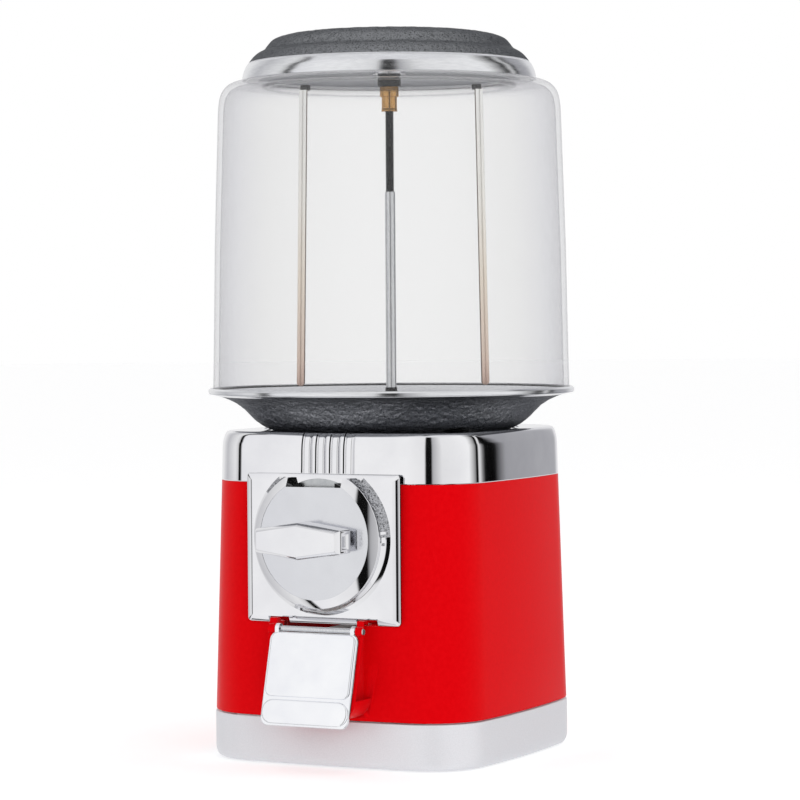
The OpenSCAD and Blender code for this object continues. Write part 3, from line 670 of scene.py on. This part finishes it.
def housing_shell():
    """Tapering enamelled box with bowed sides, open above and below."""
    rings = [housing_ring(27.0, 0.8), housing_ring(27.25, 0.25), housing_ring(27.8, 0)]
    rings += [housing_ring(z, 0) for z in (60, 92, 125, 156.6)]
    rings += [housing_ring(157, 0.4), housing_ring(157, 3), housing_ring(100, 3),
              housing_ring(27, 3)]
    box = shape("housing_shell", loft(rings, loop=True))
    carve(box, block((-48, -100, 79.5), (48, -82.9, 158)),
          block((-25, -100, 30.8), (25, -70, 80.6)),
          block((-44, -100, 84), (44, -60, 158)))
    carve(box, door_surround(), join=True)
    hole = shape("tool", lathe([(0, -40), (1.6, -40), (1.6, 40), (0, 40)], 32),
                 at=Matrix.Translation((0, -92.5, 77)) @ Matrix.Rotation(math.pi / 2, 4, "Y"))
    carve(box, hole)
    box.visible_glossy = False
    place(box, "housing", "red_paint", [RED_ENAMEL], "body_housing")


def cap_ring(inset, z):
    return bowed_square(82.5 - inset, 33.5 - inset, z)


def cap_shell():
    """Chromed cap: short walls and a rolled rim, round the sunk seat of the hopper."""
    shoulder = [(0.5, 175), (0.75, 178), (1.05, 179.5), (1.45, 181), (1.85, 182.2), (2.2, 183),
                (2.65, 183.7), (3.3, 184.3), (4.4, 184.7), (5.8, 184.8)]
    rings = [cap_ring(0.4, 157), cap_ring(0, 157.4), cap_ring(0.2, 164)]
    rings += [cap_ring(inset, z) for inset, z in flowing(shoulder, 3)]
    angles = [math.atan2(p[1], p[0]) for p in rings[0]]
    for radius, z in [(73.7, 184.8), (73.4, 184.5), (73.4, 184), (60, 184), (60, 181.5)]:
        rings.append([(radius * math.cos(a), radius * math.sin(a), z) for a in angles])
    rings += [bowed_square(75.5, 26.5, 181.5), bowed_square(78.5, 29.5, 179),
              bowed_square(79.5, 30.5, 170), bowed_square(79.5, 30.5, 157)]
    cap = shape("cap_shell", loft(rings, loop=True), 40)
    x, y = 47.8, -27.6
    carve(cap, block((x - 17.3, y - 17.3, 174), (x + 17.3, y + 17.3, 184.01)),
          block((-44, -100, 156), (44, -60, 162.1)), crease=40)
    place(cap, "housing", "chrome_plate", [CHROME], "body_cap")


def cap_flutes():
    """Four upright flutes that stand proud of the cap's front and run over its rim, each with a black
    strip of painted shade beside it.
    """
    path = [(-82.5, 162.6), (-82.3, 166), (-82, 175), (-81.7, 178), (-81.4, 179.5), (-81, 181),
            (-80.6, 182.2), (-80.2, 183), (-79.7, 183.7), (-79, 184.2), (-78.2, 184.5)]
    across = [-4.4, -4.3, -3.4, -2.5] + [-2.4 + 4.8 * k / 16 for k in range(17)]
    rings = []
    for i, (y, z) in enumerate(path):
        a, b = path[max(0, i - 1)], path[min(len(path) - 1, i + 1)]
        way = Vector((b[0] - a[0], b[1] - a[1])).normalized()
        out = Vector((-way.y, way.x))
        tall = 2.0 * min(1.0, (len(path) - 1 - i) / 4)
        ring = []
        for u in across:
            lift = max(0.15, tall * max(0.0, 1 - abs(u / 2.4) ** 5) ** 0.5)
            ring.append((u, y + out.x * lift, z + out.y * lift))
        ring += [(u, y - out.x * 0.8, z - out.y * 0.8) for u in reversed(across)]
        rings.append(ring)
    one = shape("tool", loft(rings), 50)
    flutes = repeated("cap_flutes", one, 4, 1, 26.1, 0, (2.95, 0, 0), CHROME)
    # Painted shade: a thin strip just proud of the cap runs beside each flute's left side and takes the
    # black oxide steel, standing for the dark flank that the chrome mirrors there and the shadow in
    # that corner.
    paint(flutes, 1, lambda c, n: 0.05 < (c.x + 14.45) % 8.7 < 0.95)
    place(flutes, "housing", "chrome_plate", [CHROME, BLACK_STEEL])


# ---------------------------------------------------------------- coin mechanism

SHAFT_Z = 127.0


def mechanism_front():
    """Bevelled square plate with the round coin housing cast on it, and its coin slot."""
    plate = shape("mechanism_front", panel(95.2, 82.6, 2.2, (0, 121.1), [
        (0.3, 83), (0, 83.3), (0, 84.3), (0.35, 84.65), (3.6, 85.9), (4.2, 86)], 6), 20)
    boss = [(0, 83.2, 0), (42.6, 83.2, 0), (42.6, 86.1, 0), (40.4, 87.2, 1.5), (38.7, 90, 2),
            (38.7, 92.3, 0.5), (33.6, 95.3, 0.5), (32.9, 95.5, 0), (0, 95.5, 0)]
    round_part = shape("tool", lathe(rounded(boss, 0.4), 160), 25, facing_front(0, SHAFT_Z))
    carve(round_part, block((-60, -110, 160.5), (60, -70, 180)))
    carve(plate, round_part, join=True, crease=25)
    tools = [
        (33, 60, 91.6), (4.05, 60, 120)]
    for radius, back, front in tools:
        carve(plate, shape("tool", lathe([(0, back), (radius, back), (radius, front), (0, front)],
                                         96), at=facing_front(0, SHAFT_Z)), crease=25)
    carve(plate, block((-17, -110, 155.5), (17, -88.1, 180)),
          block((-13.15, -91.3, 137), (13.15, -88.1, 180)),
          block((21, -100, 75), (34, -70, 82.9)), block((-34, -100, 75), (-21, -70, 82.9)),
          crease=25)
    paint(plate, 1, lambda c, n: c.y < -95.2 and n.y < -0.9)
    # Painted shade: the rough, dark-pitted plating goes only on the ring's upper right, with a ragged
    # lower edge, and above the slot's left end, where shade lies on the cast ring.
    paint(plate, 2, lambda c, n: math.hypot(c.x, c.z - SHAFT_Z) > 37.9 and -92.2 < c.y < -86.05
          and c.z < 160 and (c.x > 14 and c.z > SHAFT_Z + 2 + 9 * noise.noise(c / 2.5)
                             or c.x < -16 and c.z > 152))
    # Painted shade: the plate's left and right side faces take the black oxide steel, standing for the
    # dark gap and shadow between the plate and the housing.
    paint(plate, 3, lambda c, n: abs(c.x) > 47 and abs(n.x) > 0.95)
    place(plate, "housing", "chrome_plate", [CHROME, SATIN_CHROME, ROUGH_SHADED_CHROME, BLACK_STEEL],
          "face_plate")


def turn_handle():
    """Hexagonal bar with a bevelled face, hollowed ends and a round neck."""
    def hexagon(end, low, high):
        return [(-end, -low), (0, -high), (end, -low), (end, low), (0, high), (-end, low)]

    def level(end, low, high, front):
        outline = rounded(hexagon(end, low, high), 1.0, 3)
        return [(x, -front, SHAFT_Z + z) for x, z in outline]

    bar_ = shape("turn_handle", loft([
        level(24.4, 4.9, 8.5, 100.5), level(25.6, 6.0, 9.7, 100.9), level(26.2, 6.4, 10.2, 101.8),
        level(26.2, 6.4, 10.2, 113.2), level(25.9, 6.1, 9.9, 113.9), level(24.5, 4.95, 8.6, 116.1),
        level(24.2, 4.7, 8.3, 116.4), level(23.8, 4.4, 7.9, 116.5)]), 24)
    neck = shape("tool", lathe([(0, 95.9), (8, 95.9), (8, 99.6), (8.8, 100.8), (8.8, 102), (0, 102)],
                               64), at=facing_front(0, SHAFT_Z))
    carve(bar_, neck, join=True, crease=24)
    for side in (-1, 1):
        hollow = shape("tool", loft([
            [(side * x, -y, SHAFT_Z + z) for y, z in
             [(103.6 + i, -4.4 + i), (111.8 - i, -4.4 + i), (111.8 - i, 4.4 - i), (103.6 + i, 4.4 - i)]]
            for x, i in ((27, 0), (25.9, 0.3), (24.9, 1.4))]))
        carve(bar_, hollow, crease=24)
    place(bar_, "handle", "chrome_plate", [CHROME], "handle")


# ---------------------------------------------------------------- door

def door_flap():
    """Flap with a raised upper panel, a pill-shaped grip below and hinge lugs behind."""
    tilt = (Matrix.Translation((0, -93.5, 77)) @ Matrix.Rotation(math.radians(-15.3), 4, "X"))

    def raised(width, height, radius, middle, back, front, soft):
        steps = [(0, back), (0, front - soft)]
        steps += [(soft * (1 - math.cos(a)), front - soft + soft * math.sin(a))
                  for a in [math.radians(18 * k) for k in range(1, 6)]]
        return shape("tool", panel(width, height, radius, (0, middle), steps), 30, tilt)

    flap = raised(54.4, 52, 4.5, -27.8, 0, 1.4, 0.5)
    upper = raised(52, 35.6, 4, -20, 1.0, 2.6, 0.8)
    grip = raised(53.4, 13.6, 6.5, -46.1, 1.0, 2.8, 1.2)
    carve(flap, upper, grip, join=True)
    for side in (-1, 1):
        lug = shape("tool", lathe([(0, 22.2), (2.8, 22.2), (2.8, 24.6), (0, 24.6)], 40),
                    at=Matrix.Translation((0, -92.5, 77))
                    @ Matrix.Rotation(side * math.pi / 2, 4, "Y"))
        low, high = sorted((side * 22.2, side * 24.6))
        carve(flap, lug, block((low, -95.3, 72), (high, -92.9, 77)), join=True)
    bore = shape("tool", lathe([(0, -40), (1.65, -40), (1.65, 40), (0, 40)], 32),
                 at=Matrix.Translation((0, -92.5, 77)) @ Matrix.Rotation(math.pi / 2, 4, "Y"))
    carve(flap, bore)
    flap.name = "door_panel"
    place(flap, "door", "chrome_plate", [DOOR_CHROME], "door_flap")


# ---------------------------------------------------------------- hopper, canister and lid

def hopper_casting():
    """Bowl with a hammered underside and a bright rolled lip round the canister's seat."""
    under = flowing([(67, 184), (69.5, 184.6), (73.2, 186.3), (77.2, 189), (80.7, 192.3),
                     (84.9, 196.5), (89.6, 199.9), (95.3, 202.6), (100.5, 204.2), (104.6, 205)], 10)
    inside = flowing([(97.2, 207), (93, 205.2), (87, 202.2), (82, 198), (78, 194), (74, 190),
                      (70.8, 187.8)], 5)
    lip = rounded([(104.8, 205.2), (104.8, 207.2), (103.8, 208.3), (102.7, 208.3), (102.7, 207, 0)],
                  0.5, 3)
    profile = [(3.7, 184)] + under + lip + inside + [
        (70.8, 186.2), (16, 186.2), (16, 187.3), (7, 187.3), (7, 203.6), (5.5, 204.4), (3.7, 204.4)]
    bowl = shape("hopper_casting", lathe(profile, 288), 40)
    dent(bowl, 4.0, 0.5, lambda p: max(0.0, min(1.0, (203.5 - p.z) / 1.5))
         if p.z < 203.5 and math.hypot(p.x, p.y) > 68.5 and p.z > 184.4
         and math.hypot(p.x, p.y) > 60 + (p.z - 184) * 1.1 + 8 else 0.0)
    carve(bowl, bar(14, 179, 195, 47.8, -27.6), block((-20, -41.2, 179), (20, -33.2, 189)),
          crease=40)
    paint(bowl, 1, lambda c, n: n.z < 0.3 and c.z < 203.6 and math.hypot(c.x, c.y) > 20)
    place(bowl, "housing", "hammered_metal", [BUFFED, DARK_HAMMERED], "hopper_bowl")


def canister_shell():
    """Clear can: nearly straight wall, round shoulder and a wide mouth."""
    outer = [(102, 208), (101.6, 225), (101.1, 252), (100.5, 287), (99.5, 320), (98.6, 347)]
    outer += flowing([(98.2, 360), (97.8, 368), (96.9, 374), (94.9, 378.2), (91.6, 381.2),
                      (86.5, 382.8), (78, 383)], 5)
    inner = flowing([(78, 380), (86, 379.8), (89.6, 378.6), (92.2, 376.2), (93.9, 372.8),
                     (94.8, 368), (95.2, 360)], 4)
    inner += [(96.4, 320), (97.5, 287), (98.4, 240), (99, 208)]
    profile = outer + [(70.4, 383), (70, 382.6), (70, 380.3), (70.3, 380)] + inner
    can = shape("canister_shell", lathe(profile, 224), 50)
    place(can, "canister", "clear_plastic", [CLEAR], "canister")


def label_rails():
    """Two slim upright rails inside the can, with round feet and black end caps."""
    rails = []
    for side in (-1, 1):
        turn = (Matrix.Rotation(math.radians(27.7 - 90 + side * 31.1), 4, "Z")
                @ Matrix.Translation((98.6, 0, 211)) @ Matrix.Rotation(math.radians(-1.75), 4, "Y"))
        section = rounded([(-1.6, -2.3), (0, -2.3), (0, -0.5, 0.1), (-0.7, -0.2, 0.1),
                           (-0.7, 0.2, 0.1), (0, 0.5, 0.1), (0, 2.3), (-1.6, 2.3)], 0.35, 3)
        rings = []
        for z, share in [(0, 0.25), (0.25, 0.6), (0.8, 0.88), (1.6, 1.0), (80, 1.0), (162, 1.0)]:
            rings.append([(-0.8 + (x + 0.8) * share, y * share, z) for x, y in section])
        rails.append(shape("rail", loft(rings), 30, turn))
        skin, faces = panel(5.0, 3.0, 0.6, (0, 163.4), [(0.3, 1.5), (0, 1.8), (0, 3.9), (0.3, 4.2)])
        cap_obj = shape("cap", ([(y, x, z) for x, y, z in skin], faces), 30, turn)
        paint(cap_obj, 1, lambda c, n: True)
        rails.append(cap_obj)
    pair = join("label_rail_pair", *rails)
    place(pair, "canister", "clear_plastic", [RAIL, RUBBER], "label_rails")


def lid_casting():
    """Domed lid: hammered crown with a well for the lock, over a smooth turned band."""
    crown = [(0, 405, 0), (15, 405, 0.4), (15, 410, 0.6), (40, 410)]
    top = rounded(crown + [(300, 410)], 0.4, 4)[:-1]
    top = [p for p in top if p[0] < 45]
    dome = flowing([(48, 410), (56, 409.5), (61, 408.6), (65, 407.3), (67.4, 405.9), (69, 404.1),
                    (70.6, 402), (71.6, 400.9), (72.6, 400.2)], 7)
    band = flowing([(73.2, 400), (75.2, 398.9), (77.4, 397.1), (79.6, 394.5), (80.3, 393.5)], 6)
    band += [(80.2, 393.1), (80.7, 392.8)]
    band += flowing([(81.3, 392.4), (82.4, 390.3), (83.2, 388.4), (83.9, 385.6), (84, 384)], 6)
    foot = rounded([(84, 383.9, 0), (84, 383.4), (81.6, 383.4), (81.6, 385.4), (79.2, 390.8),
                    (75.4, 395), (71, 397.6), (67, 402), (63.6, 404.9), (59, 406.6), (50, 407.4),
                    (20, 407.4), (20, 398), (9.5, 398, 0), (9.5, 404.9, 0)], 0.25, 2)
    profile = [(9.5, 405)] + [p for p in top if p[0] > 9.6] + dome + band + foot
    fine = []
    for a, b in zip(profile, profile[1:]):
        pieces = max(1, int((Vector(b) - Vector(a)).length / 2.2))
        fine += [tuple(Vector(a).lerp(Vector(b), k / pieces)) for k in range(pieces)]
    lid = shape("lid_casting", lathe(fine + [profile[-1]], 288), 40)
    dent(lid, 4.2, 0.45, lambda p: 1.0 if p.z > 400.6 and 17 < math.hypot(p.x, p.y) < 72
         and p.z > 404 - (math.hypot(p.x, p.y) - 60) * 0.28 else 0.0)
    paint(lid, 1, lambda c, n: c.z > 393.2 and math.hypot(c.x, c.y) > 16 and n.z > -0.1)
    paint(lid, 2, lambda c, n: n.z < -0.1 and math.hypot(c.x, c.y) < 81.5)
    place(lid, "lid", "lid_metal", [BUFFED, BRIGHT_HAMMERED, BARE_CAST], "lid")


# Turned parts: body, slot, material, outline of (radius, height) and the corners' radius.
TURNED = {
    "canister_gasket": ("housing", "seal_rubber", RUBBER,
                        [(98, 207), (102.6, 207), (102.6, 207.7), (98, 207.7)], 0.15),
    "mouth_seal": ("canister", "seal_rubber", CLEAR,
                   [(68.4, 379.2), (72.5, 379.2), (72.5, 379.9), (69.95, 379.9), (69.95, 383),
                    (68.4, 383)], 0.2),
    "lid_gasket": ("lid", "seal_rubber", SILICONE,
                   [(75, 383.4), (81.6, 383.4), (81.6, 385), (75, 385)], 0.3),
    "lock_collar": ("lock", "black_steel", BLACK_STEEL,
                    [(4.75, 380.2), (6.65, 380.2), (6.65, 387), (4.75, 387)], 0.4),
    "lock_cylinder": ("lid", "lock_chrome", CHROME,
                      [(4.85, 387), (9.5, 387), (9.5, 405), (12, 405), (12, 406.8), (4.85, 406.8)],
                      0.35),
    "rod_ferrule": ("base", "black_steel", BLACK_STEEL,
                    [(2.95, 203), (3.4, 203), (3.4, 208), (2.95, 208)], 0.15),
    "centre_rod": ("base", "bright_steel", BRIGHT_STEEL,
                   [(0, 1.5, 0), (2.95, 1.5), (2.95, 320), (2.5, 320, 0), (2.5, 308, 0),
                    (0, 308, 0)], 0.3),
    "lock_nut": ("lock", "gear_brass", BRASS,
                 [(2.58, 365.8), (4.7, 365.8), (4.4, 367.6), (4.4, 374), (5.4, 374.2), (5.4, 380),
                  (4.7, 380.2), (4.7, 387), (2.58, 387)], 0.3),
}


def turned_parts():
    for node, (body, slot, material, outline, radius) in TURNED.items():
        part = shape(node + "_turned", lathe(rounded(outline, radius, 3), 96), 30)
        place(part, body, slot, [material], node)


def threaded_stud():
    """Black stud with a real screw thread, 0.8 mm from crest to crest."""
    sides, pitch, rows = 40, 0.8, 6
    low, high = 308.3, 379.7
    count = int((high - low) / pitch * rows)
    rings = []
    for k in range(count + 1):
        z = low + (high - low) * k / count
        ring = []
        for i in range(sides):
            phase = (z / pitch - i / sides) % 1
            r = 2.5 - 0.42 * abs(2 * phase - 1)
            a = 2 * math.pi * i / sides
            ring.append((r * math.cos(a), r * math.sin(a), z))
        rings.append(ring)
    stud = shape("threaded_stud", loft(rings), 25)
    place(stud, "base", "black_steel", [BLACK_STEEL], "rod_stud")


# ---------------------------------------------------------------- screws and the carried nodes

def plate_screws():
    """Four pan-head screws with a driver slot, on the mechanism's back plate."""
    head = [(0, 60, 0), (1.7, 60, 0), (1.7, 50, 0), (3, 50), (3, 48.9, 0.9), (0, 48, 0)]
    one = shape("tool", lathe(rounded([(r, -y) if len(c) < 3 else (r, -y, c[2])
                                       for c in head for r, y in [c[:2]]], 0.2), 40),
                at=Matrix.Rotation(-math.pi / 2, 4, "X"))
    carve(one, block((-4, -48.75, -0.4), (4, -47, 0.4)))
    screws = repeated("plate_screws", one, 2, 2, 74, 60, (0, 0, SHAFT_Z), BLACK_STEEL,
                      (math.pi / 2, 0, 0))
    place(screws, "housing", "black_steel", [BLACK_STEEL], "mech_screws")


CARRIED = {
    ZINC: ["rod_nuts", "outlet_guard", "coin_backing_plate", "mech_back_plate", "mech_spacers",
           "mech_clamps", "ratchet_wheel", "ratchet_pawl", "coin_pawl", "idler_stud", "pawl_pins"],
    BRIGHT_STEEL: ["handle_shaft", "door_pin"],
    SPRING: ["pawl_spring"],
    BLACK_STEEL: ["shaft_clip", "coin_carrier"],
    BRASS: ["drive_pinion", "idler_gear", "wheel_gear", "lock_plug"],
    ACETAL: ["gumball_wheel", "ball_chute"],
}


def dress_nodes():
    """Gives the model's own parts that stay in view their finish."""
    for material, names in CARRIED.items():
        for name in names:
            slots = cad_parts[name].data.materials
            for i in range(len(slots)):
                slots[i] = material


def lay_floor():
    floor = bpy.data.objects.new("studio_floor", bpy.data.meshes.new("studio_floor"))
    net = bmesh.new()
    bmesh.ops.create_circle(net, cap_ends=True, segments=96, radius=14)
    net.to_mesh(floor.data)
    net.free()
    floor.data.materials.append(FLOOR)
    floor.visible_glossy = False
    scene.collection.objects.link(floor)


lay_floor()
base_casting()
feet()
housing_shell()
cap_shell()
cap_flutes()
mechanism_front()
turn_handle()
door_flap()
hopper_casting()
canister_shell()
label_rails()
lid_casting()
turned_parts()
threaded_stud()
plate_screws()
dress_nodes()
